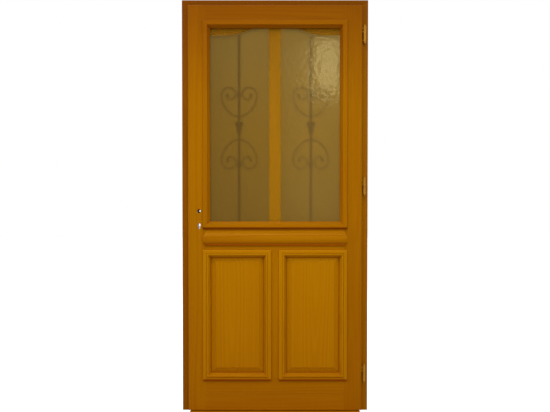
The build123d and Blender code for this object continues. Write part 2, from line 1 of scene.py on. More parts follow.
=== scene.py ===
"""Dresses the glazed front door: timber, hammered glass, wrought iron, lock, hinges and seal.

Sizes are in metres and angles in degrees, unless a docstring says otherwise.
"""

import logging
import math
import random
from dataclasses import dataclass, field, replace
from enum import Enum
from itertools import product

import bmesh
import bpy
from mathutils import Color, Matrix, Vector


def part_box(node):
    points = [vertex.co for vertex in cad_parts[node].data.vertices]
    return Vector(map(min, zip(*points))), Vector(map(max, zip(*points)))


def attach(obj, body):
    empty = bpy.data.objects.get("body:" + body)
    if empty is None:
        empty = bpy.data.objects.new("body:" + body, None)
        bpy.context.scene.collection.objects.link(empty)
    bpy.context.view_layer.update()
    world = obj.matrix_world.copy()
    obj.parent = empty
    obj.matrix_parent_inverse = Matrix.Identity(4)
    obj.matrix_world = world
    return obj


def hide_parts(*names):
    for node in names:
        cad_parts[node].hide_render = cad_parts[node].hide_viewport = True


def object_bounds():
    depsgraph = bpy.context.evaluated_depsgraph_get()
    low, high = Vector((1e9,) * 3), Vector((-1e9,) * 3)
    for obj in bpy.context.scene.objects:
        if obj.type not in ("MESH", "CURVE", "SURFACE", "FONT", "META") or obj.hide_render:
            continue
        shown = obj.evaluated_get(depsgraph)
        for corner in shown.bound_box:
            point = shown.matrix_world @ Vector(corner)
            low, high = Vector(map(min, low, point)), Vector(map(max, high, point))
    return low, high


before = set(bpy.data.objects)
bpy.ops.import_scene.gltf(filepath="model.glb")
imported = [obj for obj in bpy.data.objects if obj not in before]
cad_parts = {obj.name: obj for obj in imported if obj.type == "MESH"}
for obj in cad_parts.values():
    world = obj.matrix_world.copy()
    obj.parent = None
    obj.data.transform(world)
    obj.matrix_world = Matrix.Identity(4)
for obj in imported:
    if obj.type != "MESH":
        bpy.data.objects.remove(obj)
cad_low, cad_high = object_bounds()

LOG = logging.getLogger("glazed_front_door")
MM = 0.001
FRAME_BODY = "frame"
LEAF_BODY = "leaf"

Colour = tuple[float, float, float, float]
Triple = tuple[float, float, float]
Span = tuple[float, float]

WHITE: Colour = (1.0, 1.0, 1.0, 1.0)
RISING: Span = (0.0, 1.0)
FALLING: Span = (1.0, 0.0)
ACROSS: Triple = (1.0, 1.0, 0.0)

# The span that holds most of a noise's values, and the middle of a noise's colours.
NOISE_SPAN: Span = (0.3, 0.7)
NOISE_MIDDLE: Triple = (0.5, 0.5, 0.5)

# The kind of input that a value of each Python type needs in a Geometry Nodes tree.
SOCKET_KINDS = {float: "NodeSocketFloat", int: "NodeSocketInt", tuple: "NodeSocketVector"}


def tone(red: int, green: int, blue: int) -> Colour:
    """Return a colour as a screen shows it, from 0 to 255, in the linear values of a shader."""
    linear = Color((red / 255, green / 255, blue / 255)).from_srgb_to_scene_linear()
    return (*linear, 1.0)


def scaled(colour: Colour, share: float) -> Colour:
    """Return a colour with each of its parts times share, and an alpha of 1."""
    return (colour[0] * share, colour[1] * share, colour[2] * share, 1.0)


def piece_seed(name: str) -> int:
    """Return a number that is always the same for one piece's name."""
    return sum((place + 1) * ord(letter) for place, letter in enumerate(name))


def pitches(across: float, along: float) -> Triple:
    """Return the steps a metre of a pattern, from its pitch across and along the third axis."""
    return (1 / across, 1 / across, 1 / along)


@dataclass(frozen=True)
class Speckle:
    """A noise: its steps a metre along each axis, its detail and its roughness."""

    steps: Triple
    detail: float = 2.0
    rough: float = 0.5


class NodeBench:
    """Adds nodes to one tree, feeds their sockets and joins them."""

    def __init__(self, tree: bpy.types.NodeTree) -> None:
        """Take the tree to work on."""
        self.tree = tree

    def add(self, kind: str, feeds: dict | None = None, **settings: object) -> bpy.types.Node:
        """Add one node.

        Args:
            kind: the node's type name.
            feeds: what each input gets, by its name or number: a value or another's output.
            settings: the node's own properties, by name.

        Returns:
            The new node.
        """
        node = self.tree.nodes.new(kind)
        for name, value in settings.items():
            setattr(node, name, value)
        for key, value in (feeds or {}).items():
            self.feed(node.inputs[key], value)
        return node

    def feed(self, socket: bpy.types.NodeSocket, value: object) -> None:
        """Link an output to a socket, or set the socket's own value.

        Args:
            socket: the input to feed.
            value: another node's output, or a plain value.
        """
        if isinstance(value, bpy.types.NodeSocket):
            self.tree.links.new(value, socket)
        else:
            socket.default_value = value

    def math(self, operation: str, first: object, second: object) -> bpy.types.NodeSocket:
        """Add a Math node and return its output."""
        return self.add("ShaderNodeMath", {0: first, 1: second}, operation=operation).outputs[0]

    def weigh(self, *parts: tuple[object, float]) -> bpy.types.NodeSocket:
        """Add up some values.

        Args:
            parts: each value with its weight.

        Returns:
            The sum of the values, each times its weight.
        """
        total = 0.0
        for value, weight in parts:
            feeds = {0: value, 1: weight, 2: total}
            total = self.add("ShaderNodeMath", feeds, operation="MULTIPLY_ADD").outputs[0]
        return total

    def vector(self, operation: str, first: object, second: object) -> bpy.types.NodeSocket:
        """Add a Vector Math node with two vectors and return the vector."""
        feeds = {0: first, 1: second}
        return self.add("ShaderNodeVectorMath", feeds, operation=operation).outputs[0]

    def stretch(self, value: object, span: Span, onto: Span = RISING) -> bpy.types.NodeSocket:
        """Map one span of values onto another, held at its ends, and return the output."""
        feeds = {0: value, 1: span[0], 2: span[1], 3: onto[0], 4: onto[1]}
        return self.add("ShaderNodeMapRange", feeds, clamp=True).outputs[0]

    def noise(self, place: object, speckle: Speckle, output: int | str = 0) -> bpy.types.NodeSocket:
        """Add a Noise node that reads a place.

        Args:
            place: the place.
            speckle: the noise.
            output: which output to return, by its name or number.

        Returns:
            The output.
        """
        feeds = {
            "Vector": self.vector("MULTIPLY", place, speckle.steps),
            "Scale": 1.0,
            "Detail": speckle.detail,
            "Roughness": speckle.rough,
        }
        return self.add("ShaderNodeTexNoise", feeds).outputs[output]

    def dents(self, place: object, steps: object, blur: float) -> bpy.types.NodeSocket:
        """Add a Voronoi node with rounded cells and return the distance from their middles."""
        feeds = {"Vector": place, "Scale": steps, "Smoothness": blur}
        return self.add("ShaderNodeTexVoronoi", feeds, feature="SMOOTH_F1").outputs["Distance"]

    def blend(
        self, share: object, first: object, second: object, way: str = "MIX"
    ) -> bpy.types.NodeSocket:
        """Mix two colours and return the colour."""
        feeds = {0: share, 6: first, 7: second}
        return self.add("ShaderNodeMix", feeds, data_type="RGBA", blend_type=way).outputs[2]


class SurfaceBench(NodeBench):
    """The bench of a new material with one Principled surface, and the place on the piece."""

    def __init__(self, name: str) -> None:
        """Start the material.

        Args:
            name: the material's name.
        """
        self.material = bpy.data.materials.new(name)
        self.material.use_nodes = True
        super().__init__(self.material.node_tree)
        self.place = self.add("ShaderNodeTexCoord").outputs["Object"]

    def bump(self, height: object, strength: float, depth: float) -> bpy.types.NodeSocket:
        """Add a Bump node and return the normal."""
        feeds = {"Strength": strength, "Distance": depth, "Height": height}
        return self.add("ShaderNodeBump", feeds).outputs[0]

    def finish(self, looks: dict[str, object]) -> bpy.types.Material:
        """Feed the surface.

        Args:
            looks: what each of the surface's inputs gets, by name.

        Returns:
            The material.
        """
        inputs = self.tree.nodes["Principled BSDF"].inputs
        for name, value in looks.items():
            self.feed(inputs[name], value)
        return self.material


class Grain(Enum):
    """The way a timber member's fibres run: the turn that stands them up in the log."""

    UPRIGHT = 0.0
    LEVEL = -90.0


@dataclass(frozen=True)
class VarnishedTimber:
    """Stained, satin-varnished softwood, whose growth rings run through the whole member."""

    # The stain, on the early and the late wood of each growth ring.
    early: Colour = tone(171, 108, 1)
    late: Colour = tone(159, 95, 0)
    late_span: Span = (0.28, 0.80)
    redness: float = 1.6

    # Where the member lies in its log: across, in depth and along, and its lean.
    pith: tuple[Span, Span, Span] = ((-55 * MM, 55 * MM), (70 * MM, 120 * MM), (-4.0, 4.0))
    tilt: tuple[Span, Span] = ((-1.0, 1.0), (-1.2, 1.2))

    # The figure: bent growth rings, fibres, soft clouds and short dark pores.
    drift: Speckle = Speckle((2.2, 2.2, 0.6), detail=1.0)
    ring_warp: float = 54 * MM
    ring_pitch: float = 5.5 * MM
    ring_detail: float = 1.5
    ring_span: Span = (0.36, 0.66)
    ring_share: float = 0.28
    fibres: Speckle = Speckle(pitches(1.6 * MM, 90 * MM), detail=3.0, rough=0.6)
    fibre_share: float = 0.30
    clouds: Speckle = Speckle((9.0, 9.0, 1.6))
    cloud_share: float = 0.42
    pores: Speckle = Speckle(pitches(0.9 * MM, 9 * MM), detail=0.0)
    pore_span: Span = (0.62, 0.74)
    pore_share: float = 0.13
    pore_shade: float = 0.45

    # The varnish, and the relief that shows through it.
    roughness: Span = (0.33, 0.45)
    shine: float = 0.30
    varnish: Colour = (1.0, 0.62, 0.04, 1.0)
    relief: float = 0.12 * MM
    relief_strength: float = 0.5
    fibre_relief: float = 0.5

    # Painted shade: the heights near the door's head and foot between which the timber is darker,
    # where less light falls.
    head_foot_shade: Colour = (0.80, 0.58, 1.0, 1.0)
    head: Span = (1.60, 2.14)
    foot: Span = (-0.10, 0.75)
    foot_shade: float = 0.47

    # Painted shade: dark lines in creases, darkest below an overhang where light from above is
    # blocked, and a painted shadow along the lower edge.
    crease_shade: Colour = (0.38, 0.07, 0.20, 1.0)
    crease_reach: float = 15 * MM
    crease_lean: Triple = (0.0, 0.0, 0.75)
    crease_span: Span = (0.30, 0.70)
    crease_samples: int = 8
    edge_shadow: float = 0.0
    edge_shadow_full: float = 0.55

    def material(self, name: str, grain: Grain, shade: float) -> bpy.types.Material:
        """Make the finish for one member.

        Args:
            name: the member's node, which settles where the growth rings lie.
            grain: the way the fibres run.
            shade: how light the stain is, next to the leaf's; partly the member's own tone and
                partly painted light and shade for where it sits.

        Returns:
            The material.
        """
        low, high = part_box(name)
        bench = SurfaceBench(f"timber_{name}")
        log = self._log(bench, (low + high) / 2, grain, random.Random(piece_seed(name)))
        drift = bench.vector("SUBTRACT", bench.noise(log, self.drift, "Color"), NOISE_MIDDLE)
        bent = bench.vector("ADD", log, bench.vector("MULTIPLY", drift, (self.ring_warp,) * 3))
        fibre = bench.noise(bent, self.fibres)
        pore = bench.stretch(bench.noise(log, self.pores), self.pore_span)
        figure = bench.weigh(
            (self._rings(bench, bent), self.ring_share),
            (fibre, self.fibre_share),
            (bench.noise(log, self.clouds), self.cloud_share),
        )
        share = bench.stretch(figure, self.late_span)
        colour = bench.blend(share, self.stained(self.early, shade), self.stained(self.late, shade))
        darker = bench.math("MULTIPLY", pore, self.pore_share)
        colour = bench.blend(darker, colour, self.stained(self.late, shade * self.pore_shade))
        relief = bench.weigh((fibre, self.fibre_relief), (pore, -1.0))
        return bench.finish(
            {
                "Base Color": self._painted_shade(bench, colour, low.z),
                "Roughness": bench.stretch(fibre, NOISE_SPAN, self.roughness),
                "Specular IOR Level": self.shine,
                "Specular Tint": self.varnish,
                "Normal": bench.bump(relief, self.relief_strength, self.relief),
            }
        )

    def stained(self, colour: Colour, shade: float) -> Colour:
        """Return a colour made lighter or darker by a shade, partly stain and partly painted light,
        and redder the darker it is.
        """
        return (colour[0] * shade, colour[1] * shade**self.redness, colour[2] * shade, 1.0)

    def _log(
        self, bench: SurfaceBench, middle: Vector, grain: Grain, dice: random.Random
    ) -> bpy.types.NodeSocket:
        """Lay the member in its log.

        Args:
            bench: the material's bench.
            middle: the member's middle.
            grain: the way the fibres run.
            dice: what settles the member's place in the log.

        Returns:
            The place in the log, whose third axis runs along the fibres.
        """
        moved = bench.vector("SUBTRACT", bench.place, tuple(middle))
        turn = (0.0, math.radians(grain.value), 0.0)
        turned = bench.add("ShaderNodeMapping", {"Vector": moved, "Rotation": turn}).outputs[0]
        pith = tuple(dice.uniform(*span) for span in self.pith)
        tilt = (*(math.radians(dice.uniform(*span)) for span in self.tilt), 0.0)
        feeds = {"Vector": turned, "Location": pith, "Rotation": tilt}
        return bench.add("ShaderNodeMapping", feeds).outputs[0]

    def _rings(self, bench: SurfaceBench, bent: bpy.types.NodeSocket) -> bpy.types.NodeSocket:
        """Grow the rings round the pith.

        Args:
            bench: the material's bench.
            bent: the place in the log, as the rings bend.

        Returns:
            How late in its ring the wood has grown, from 0 to 1.
        """
        across = bench.vector("MULTIPLY", bent, ACROSS)
        length = bench.add("ShaderNodeVectorMath", {0: across}, operation="LENGTH")
        count = bench.math("MULTIPLY", length.outputs["Value"], 1 / self.ring_pitch)
        feeds = {"W": count, "Scale": 1.0, "Detail": self.ring_detail}
        rings = bench.add("ShaderNodeTexNoise", feeds, noise_dimensions="1D").outputs[0]
        return bench.stretch(rings, self.ring_span)

    def _painted_shade(
        self, bench: SurfaceBench, colour: bpy.types.NodeSocket, edge: float
    ) -> bpy.types.NodeSocket:
        """Paint shade into the colour: darker near the door's head and foot, in creases and under
        overhangs, and along the lower edge.

        Args:
            bench: the material's bench.
            colour: the stained colour.
            edge: the height of the member's lower edge, along which a shadow is painted.

        Returns:
            The colour.
        """
        height = bench.add("ShaderNodeSeparateXYZ", {0: bench.place}).outputs[2]
        # Painted shade: darker towards the door's head and foot.
        head = bench.stretch(height, self.head)
        foot = bench.stretch(height, self.foot, (self.foot_shade, 0.0))
        colour = bench.blend(bench.math("MAXIMUM", head, foot), colour, self.head_foot_shade, "MULTIPLY")
        # Painted shade in creases and under overhangs, from an occlusion test leant upwards.
        normal = bench.add("ShaderNodeNewGeometry").outputs["Normal"]
        leant = bench.vector("ADD", normal, self.crease_lean)
        upward = bench.add("ShaderNodeVectorMath", {0: leant}, operation="NORMALIZE").outputs[0]
        feeds = {"Distance": self.crease_reach, "Normal": upward}
        nearby = bench.add("ShaderNodeAmbientOcclusion", feeds, samples=self.crease_samples)
        depth = bench.stretch(nearby.outputs["AO"], self.crease_span, FALLING)
        # A painted shadow along the member's lower edge.
        if self.edge_shadow > 0:
            edge_shadow = (edge + self.edge_shadow_full * self.edge_shadow, edge + self.edge_shadow)
            depth = bench.math("MAXIMUM", depth, bench.stretch(height, edge_shadow, FALLING))
        return bench.blend(depth, colour, self.crease_shade, "MULTIPLY")


@dataclass(frozen=True)
class AmberGlass:
    """Hammered cathedral glass, tinted amber, that shows the timber that lies against its back."""

    # The tint, with painted light and shade: greyer near the head, and darker on the lock side than
    # on the hinge side.
    tint: Colour = tone(131, 98, 20)
    painted_head_tint: Colour = tone(129, 101, 36)
    head: Span = (1.45, 1.85)
    side_shade: Span = (0.86, 1.16)
    streaks: Speckle = Speckle((4.0, 4.0, 1.5))
    streak_share: float = 0.25
    streak_shade: float = 0.6

    # The glass itself, and the smoother skin over it.
    clearness: float = 0.58
    softness: float = 0.64
    refraction: float = 1.5
    shine: float = 0.15
    sheen: Colour = tone(255, 180, 60)
    skin: float = 0.26
    skin_softness: float = 0.125
    ripples: Speckle = Speckle(pitches(13 * MM, 13 * MM), rough=0.55)
    ripple_strength: float = 0.36
    ripple_depth: float = 0.8 * MM

    # What is left of the glass where timber lies within this distance of its back: a thin pale
    # yellow veil, partly painted light on the timber seen through it.
    backed_span: Span = (0.5 * MM, 1.2 * MM)
    veil: float = 0.17
    veil_light: Colour = tone(232, 202, 50)

    def material(self, name: str, backed: str) -> bpy.types.Material:
        """Make the glass.

        Args:
            name: the material's name.
            backed: the attribute with the distance from the pane's back to the timber behind it.

        Returns:
            The material.
        """
        bench = SurfaceBench(name)
        low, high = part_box("glass")
        reach = bench.add("ShaderNodeAttribute", attribute_name=backed).outputs["Fac"]
        near = bench.stretch(reach, self.backed_span, FALLING)
        parts = bench.add("ShaderNodeSeparateXYZ", {0: bench.place}).outputs
        # Painted light: the tint greyer near the head.
        tint = bench.blend(bench.stretch(parts[2], self.head), self.tint, self.painted_head_tint)
        cloud = bench.noise(bench.place, self.streaks)
        streak = bench.stretch(cloud, NOISE_SPAN, (0.0, self.streak_share))
        streaky = bench.blend(streak, tint, scaled(self.tint, self.streak_shade))
        # Painted shade: darker towards the lock side, lighter towards the hinge side.
        side = bench.stretch(parts[0], (low.x, high.x), self.side_shade)
        feeds = {0: streaky, "Scale": side}
        side_shaded = bench.add("ShaderNodeVectorMath", feeds, operation="SCALE").outputs[0]
        ripple = bench.noise(bench.place, self.ripples)
        normal = bench.bump(ripple, self.ripple_strength, self.ripple_depth)
        return bench.finish(
            {
                "Base Color": bench.blend(near, side_shaded, self.veil_light),
                "Alpha": bench.stretch(near, RISING, (1.0, self.veil)),
                "Transmission Weight": self.clearness,
                "Roughness": self.softness,
                "IOR": self.refraction,
                "Specular IOR Level": self.shine,
                "Specular Tint": self.sheen,
                "Coat Weight": bench.stretch(near, RISING, (self.skin, 0.0)),
                "Coat Roughness": self.skin_softness,
                "Normal": normal,
                "Coat Normal": normal,
            }
        )


@dataclass(frozen=True)
class ForgedIron:
    """Blackened wrought iron with hammer marks and worn, browner high spots."""

    black: Colour = tone(40, 46, 34)
    brown: Colour = tone(78, 70, 44)
    wear: Speckle = Speckle((60.0, 60.0, 60.0), detail=4.0, rough=0.6)
    worn_span: Span = (0.5, 0.72)
    worn_share: float = 0.7
    roughness: Span = (0.42, 0.62)
    metal: float = 0.55
    mark_pitch: float = 7 * MM
    mark_blur: float = 0.6
    mark_strength: float = 0.5
    mark_depth: float = 0.6 * MM

    def material(self, name: str) -> bpy.types.Material:
        """Make the iron.

        Args:
            name: the material's name.

        Returns:
            The material.
        """
        bench = SurfaceBench(name)
        wear = bench.noise(bench.place, self.wear)
        worn = bench.stretch(wear, self.worn_span, (0.0, self.worn_share))
        marks = bench.dents(bench.place, 1 / self.mark_pitch, self.mark_blur)
        return bench.finish(
            {
                "Base Color": bench.blend(worn, self.black, self.brown),
                "Roughness": bench.stretch(wear, NOISE_SPAN, self.roughness),
                "Metallic": self.metal,
                "Normal": bench.bump(marks, self.mark_strength, self.mark_depth),
            }
        )


@dataclass(frozen=True)
class BrushedPlate:
    """Plated metal with fine lines from brushing and a light tarnish."""

    bright: Colour
    dull: Colour
    roughness: Span
    tarnish: Speckle = Speckle((90.0, 90.0, 90.0), detail=3.0, rough=0.6)
    tarnish_span: Span = (0.4, 0.75)
    tarnish_share: float = 0.8
    lines: Speckle = Speckle((4000.0, 4000.0, 30.0))
    line_strength: float = 0.2
    line_depth: float = 0.02 * MM

    def material(self, name: str) -> bpy.types.Material:
        """Make the plated metal.

        Args:
            name: the material's name.

        Returns:
            The material.
        """
        bench = SurfaceBench(name)
        brushing = bench.noise(bench.place, self.lines)
        cloud = bench.noise(bench.place, self.tarnish)
        share = bench.stretch(cloud, self.tarnish_span, (0.0, self.tarnish_share))
        return bench.finish(
            {
                "Base Color": bench.blend(share, self.bright, self.dull),
                "Metallic": 1.0,
                "Roughness": bench.stretch(brushing, NOISE_SPAN, self.roughness),
                "Normal": bench.bump(brushing, self.line_strength, self.line_depth),
            }
        )

    def shaded_copy(self, share: float) -> "BrushedPlate":
        """Return the same plating, lighter or darker, for painted light and shade."""
        return replace(self, bright=scaled(self.bright, share), dull=scaled(self.dull, share))


@dataclass(frozen=True)
class SealRubber:
    """Matt brown sealing rubber with a faint bloom."""

    body: Colour = tone(66, 46, 30)
    bloom: Colour = tone(92, 70, 50)
    clouds: Speckle = Speckle((45.0, 45.0, 45.0), detail=4.0, rough=0.6)
    bloom_span: Span = (0.4, 0.7)
    bloom_share: float = 0.6
    roughness: Span = (0.55, 0.75)
    skin: Speckle = Speckle((1400.0, 1400.0, 1400.0), detail=1.0)
    skin_strength: float = 0.2
    skin_depth: float = 0.05 * MM

    def material(self, name: str) -> bpy.types.Material:
        """Make the rubber.

        Args:
            name: the material's name.

        Returns:
            The material.
        """
        bench = SurfaceBench(name)
        cloud = bench.noise(bench.place, self.clouds)
        share = bench.stretch(cloud, self.bloom_span, (0.0, self.bloom_share))
        skin = bench.noise(bench.place, self.skin)
        return bench.finish(
            {
                "Base Color": bench.blend(share, self.body, self.bloom),
                "Roughness": bench.stretch(cloud, NOISE_SPAN, self.roughness),
                "Normal": bench.bump(skin, self.skin_strength, self.skin_depth),
            }
        )


@dataclass(frozen=True)
class PaleFloor:
    """A matt, pale grey floor that glows to the camera alone, to meet the white surround."""

    grey: Span = (0.46, 0.48)
    speckle: Speckle = Speckle((3.0, 3.0, 3.0), detail=3.0)
    roughness: float = 0.8
    glow: float = 0.88

    def material(self, name: str) -> bpy.types.Material:
        """Make the floor's finish.

        Args:
            name: the material's name.

        Returns:
            The material.
        """
        bench = SurfaceBench(name)
        grey = bench.stretch(bench.noise(bench.place, self.speckle), NOISE_SPAN, self.grey)
        colour = bench.add("ShaderNodeCombineColor", {0: grey, 1: grey, 2: grey}).outputs[0]
        seen = bench.add("ShaderNodeLightPath").outputs["Is Camera Ray"]
        return bench.finish(
            {
                "Base Color": colour,
                "Roughness": self.roughness,
                "Specular IOR Level": 0.0,
                "Emission Color": WHITE,
                "Emission Strength": bench.math("MULTIPLY", seen, self.glow),
            }
        )


TIMBER = VarnishedTimber()
# The next five finishes differ in how much shade is painted into creases, along lower edges and
# near the foot.
PANEL_TIMBER = VarnishedTimber(crease_shade=(0.66, 0.36, 0.44, 1.0))
MOULDED_TIMBER = VarnishedTimber(crease_shade=(0.70, 0.34, 0.44, 1.0), edge_shadow=12 * MM)
BEAD_TIMBER = VarnishedTimber(crease_shade=(0.45, 0.18, 0.26, 1.0), edge_shadow=11 * MM)
BAND_TIMBER = VarnishedTimber(crease_shade=(0.92, 0.60, 0.80, 1.0), edge_shadow=14 * MM)
CASING_TIMBER = VarnishedTimber(crease_shade=(0.85, 0.75, 0.70, 1.0), foot_shade=0.0)
SILL_TIMBER = replace(CASING_TIMBER, early=tone(171, 95, 1), late=tone(159, 84, 0))
BRASS = BrushedPlate(bright=tone(210, 155, 50), dull=tone(182, 126, 34), roughness=(0.66, 0.82))
ZINC = BrushedPlate(bright=tone(176, 172, 160), dull=tone(128, 122, 110), roughness=(0.32, 0.48))
# Dark oiled steel, partly painted shade: it keeps the lock dark where it is seen down the bored
# holes.
OILED_SHADED = BrushedPlate(bright=tone(138, 104, 62), dull=tone(100, 74, 44), roughness=(0.44, 0.60))
IRON = ForgedIron()
RUBBER = SealRubber()
GLASS = AmberGlass()
FLOOR = PaleFloor()

Member = tuple[VarnishedTimber, Grain, float]


def dress(name: str, material: bpy.types.Material) -> None:
    """Give a CAD node one material, on all its slots."""
    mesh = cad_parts[name].data
    mesh.materials.clear()
    mesh.materials.append(material)


def dress_timber(members: dict[str, Member]) -> list[str]:
    """Dress the timber nodes.

    Args:
        members: each node's finish, grain and shade, by name.

    Returns:
        The names of the nodes.
    """
    for name, (finish, grain, shade) in members.items():
        dress(name, finish.material(name, grain, shade))
    return list(members)


class GeometryRecipe:
    """A Geometry Nodes tree with named inputs, which makes one plain mesh from a base mesh."""

    def __init__(self, name: str, inputs: dict[str, float | int | tuple]) -> None:
        """Start the tree and its inputs.

        Args:
            name: the tree's name.
            inputs: each input's value, by name.
        """
        self.tree = bpy.data.node_groups.new(name, "GeometryNodeTree")
        self.bench = NodeBench(self.tree)
        self.values: dict[str, object] = {}
        ports = self.tree.interface
        ports.new_socket("Geometry", in_out="INPUT", socket_type="NodeSocketGeometry")
        for key, value in inputs.items():
            kind = SOCKET_KINDS[type(value)]
            socket = ports.new_socket(key, in_out="INPUT", socket_type=kind)
            self.values[socket.identifier] = value
        ports.new_socket("Geometry", in_out="OUTPUT", socket_type="NodeSocketGeometry")
        self.given = self.bench.add("NodeGroupInput").outputs

    def end(self, geometry: bpy.types.NodeSocket, material: bpy.types.Material) -> None:
        """Close the tree with real meshes and their material.

        Args:
            geometry: what the tree has made.
            material: the finish of the new mesh.
        """
        real = self.bench.add("GeometryNodeRealizeInstances", {0: geometry}).outputs[0]
        feeds = {"Geometry": real, "Material": material}
        painted = self.bench.add("GeometryNodeSetMaterial", feeds).outputs[0]
        self.bench.add("NodeGroupOutput", {0: painted})

    def build(self, name: str, base: bpy.types.Mesh) -> bpy.types.Object:
        """Run the tree on a base mesh.

        Args:
            name: the finished piece's name.
            base: the mesh that the tree starts from.

        Returns:
            The piece as a plain mesh, at the origin.
        """
        piece = bpy.data.objects.new(name, base)
        bpy.context.scene.collection.objects.link(piece)
        modifier = piece.modifiers.new("recipe", "NODES")
        modifier.node_group = self.tree
        for identifier, value in self.values.items():
            modifier[identifier] = value
        graph = bpy.context.evaluated_depsgraph_get()
        mesh = bpy.data.meshes.new_from_object(
            piece.evaluated_get(graph), preserve_all_data_layers=True, depsgraph=graph
        )
        mesh.name = name
        piece.modifiers.clear()
        piece.data = mesh
        return piece


def point_mesh(
    name: str, points: list[Vector], edges: tuple[tuple[int, int], ...] = ()
) -> bpy.types.Mesh:
    """Make a mesh of bare points and edges for a tree to start from.

    Args:
        name: the mesh's name.
        points: the points.
        edges: pairs of the points' numbers.

    Returns:
        The mesh.
    """
    mesh = bpy.data.meshes.new(name)
    mesh.from_pydata([tuple(point) for point in points], edges, [])
    return mesh


@dataclass
class Casing:
    """The fixed frame: two jambs, the head, the threshold, the seal and the strike plate."""

    seal_width: float = 8 * MM
    seal_bulb_radius: float = 3.6 * MM
    seal_sides: int = 20
    seal_corner: float = 9 * MM
    seal_corner_steps: int = 6
    # The shades are partly the timber's tone and partly painted: shade on the jambs and head, which
    # sit back in shadow behind the leaf, and light on the threshold, which lies in the leaf's
    # shadow.
    members: dict[str, Member] = field(
        default_factory=lambda: {
            "hinge_jamb": (CASING_TIMBER, Grain.UPRIGHT, 0.82),
            "lock_jamb": (CASING_TIMBER, Grain.UPRIGHT, 0.64),
            "frame_head": (CASING_TIMBER, Grain.LEVEL, 0.66),
            "threshold": (SILL_TIMBER, Grain.LEVEL, 1.25),
        }
    )

    def build(self) -> list[str]:
        """Dress the frame's members and make its seal.

        Returns:
            The names of the pieces.
        """
        names = dress_timber(self.members)
        dress("strike_plate", ZINC.material("zinc_strike_plate"))
        self._seal()
        return [*names, "strike_plate", "seal_gasket"]

    def _seal(self) -> None:
        """Run the seal's bulb round the stops as one gasket with rounded corners."""
        inputs = {"Bulb Radius": self.seal_bulb_radius, "Corner Radius": self.seal_corner}
        recipe = GeometryRecipe("seal_along_stops", inputs)
        bench, given = recipe.bench, recipe.given
        route = bench.add("GeometryNodeMeshToCurve", {0: given["Geometry"]}).outputs[0]
        feeds = {"Curve": route, "Radius": given["Corner Radius"], "Count": self.seal_corner_steps}
        eased = bench.add("GeometryNodeFilletCurve", feeds, mode="POLY").outputs[0]
        feeds = {"Resolution": self.seal_sides, "Radius": given["Bulb Radius"]}
        bulb = bench.add("GeometryNodeCurvePrimitiveCircle", feeds).outputs[0]
        feeds = {"Curve": eased, "Profile Curve": bulb, "Fill Caps": True}
        tube = bench.add("GeometryNodeCurveToMesh", feeds).outputs[0]
        smooth = bench.add("GeometryNodeSetShadeSmooth", {"Geometry": tube}).outputs[0]
        recipe.end(smooth, RUBBER.material("rubber_seal"))
        low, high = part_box("frame_seal")
        inset = self.seal_width / 2
        depth = low.y + self.seal_bulb_radius
        left, right, top = low.x + inset, high.x - inset, high.z - inset
        corners = ((left, low.z), (left, top), (right, top), (right, low.z))
        points = [Vector((x, depth, z)) for x, z in corners]
        route_mesh = point_mesh("seal_route", points, ((0, 1), (1, 2), (2, 3)))
        gasket = recipe.build("seal_gasket", route_mesh)
        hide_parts("frame_seal")
        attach(gasket, FRAME_BODY)


@dataclass
class Leaf:
    """The framed leaf: stiles, rails, muntin, mullion, panels, mouldings, bands and weather bar."""

    # The shades are partly the timber's tone and partly painted light and shade: the top rail
    # darker, the hinge stile darker than the lock stile, and the mullion set for the light it gets
    # through the glass.
    members: dict[str, Member] = field(
        default_factory=lambda: {
            "lock_stile": (TIMBER, Grain.UPRIGHT, 0.96),
            "hinge_stile": (TIMBER, Grain.UPRIGHT, 0.88),
            "top_rail": (PANEL_TIMBER, Grain.LEVEL, 0.85),
            "lock_rail": (TIMBER, Grain.LEVEL, 0.97),
            "bottom_rail": (TIMBER, Grain.LEVEL, 0.95),
            "muntin": (TIMBER, Grain.UPRIGHT, 1.0),
            "mullion": (CASING_TIMBER, Grain.UPRIGHT, 0.92),
            "left_panel": (PANEL_TIMBER, Grain.UPRIGHT, 1.09),
            "right_panel": (PANEL_TIMBER, Grain.UPRIGHT, 1.13),
            "inside_band": (BAND_TIMBER, Grain.LEVEL, 0.92),
            "outside_band": (BAND_TIMBER, Grain.LEVEL, 1.0),
            "weather_bar": (TIMBER, Grain.LEVEL, 0.96),
        }
    )
    # Uprights and crosspieces differ partly by painted light and shade.
    moulding_runs: dict[str, Member] = field(
        default_factory=lambda: {
            "uprights": (MOULDED_TIMBER, Grain.UPRIGHT, 1.14),
            "crosspieces": (MOULDED_TIMBER, Grain.LEVEL, 1.04),
        }
    )

    def build(self) -> list[str]:
        """Dress the members of the leaf and the mouldings round its panels.

        Returns:
            The names of the pieces.
        """
        mouldings = {
            f"{side}_moulding_{face}_{run}": member
            for side, face, (run, member) in product(
                ("left", "right"), ("inside", "outside"), self.moulding_runs.items()
            )
        }
        return [*dress_timber(self.members), *dress_timber(mouldings)]


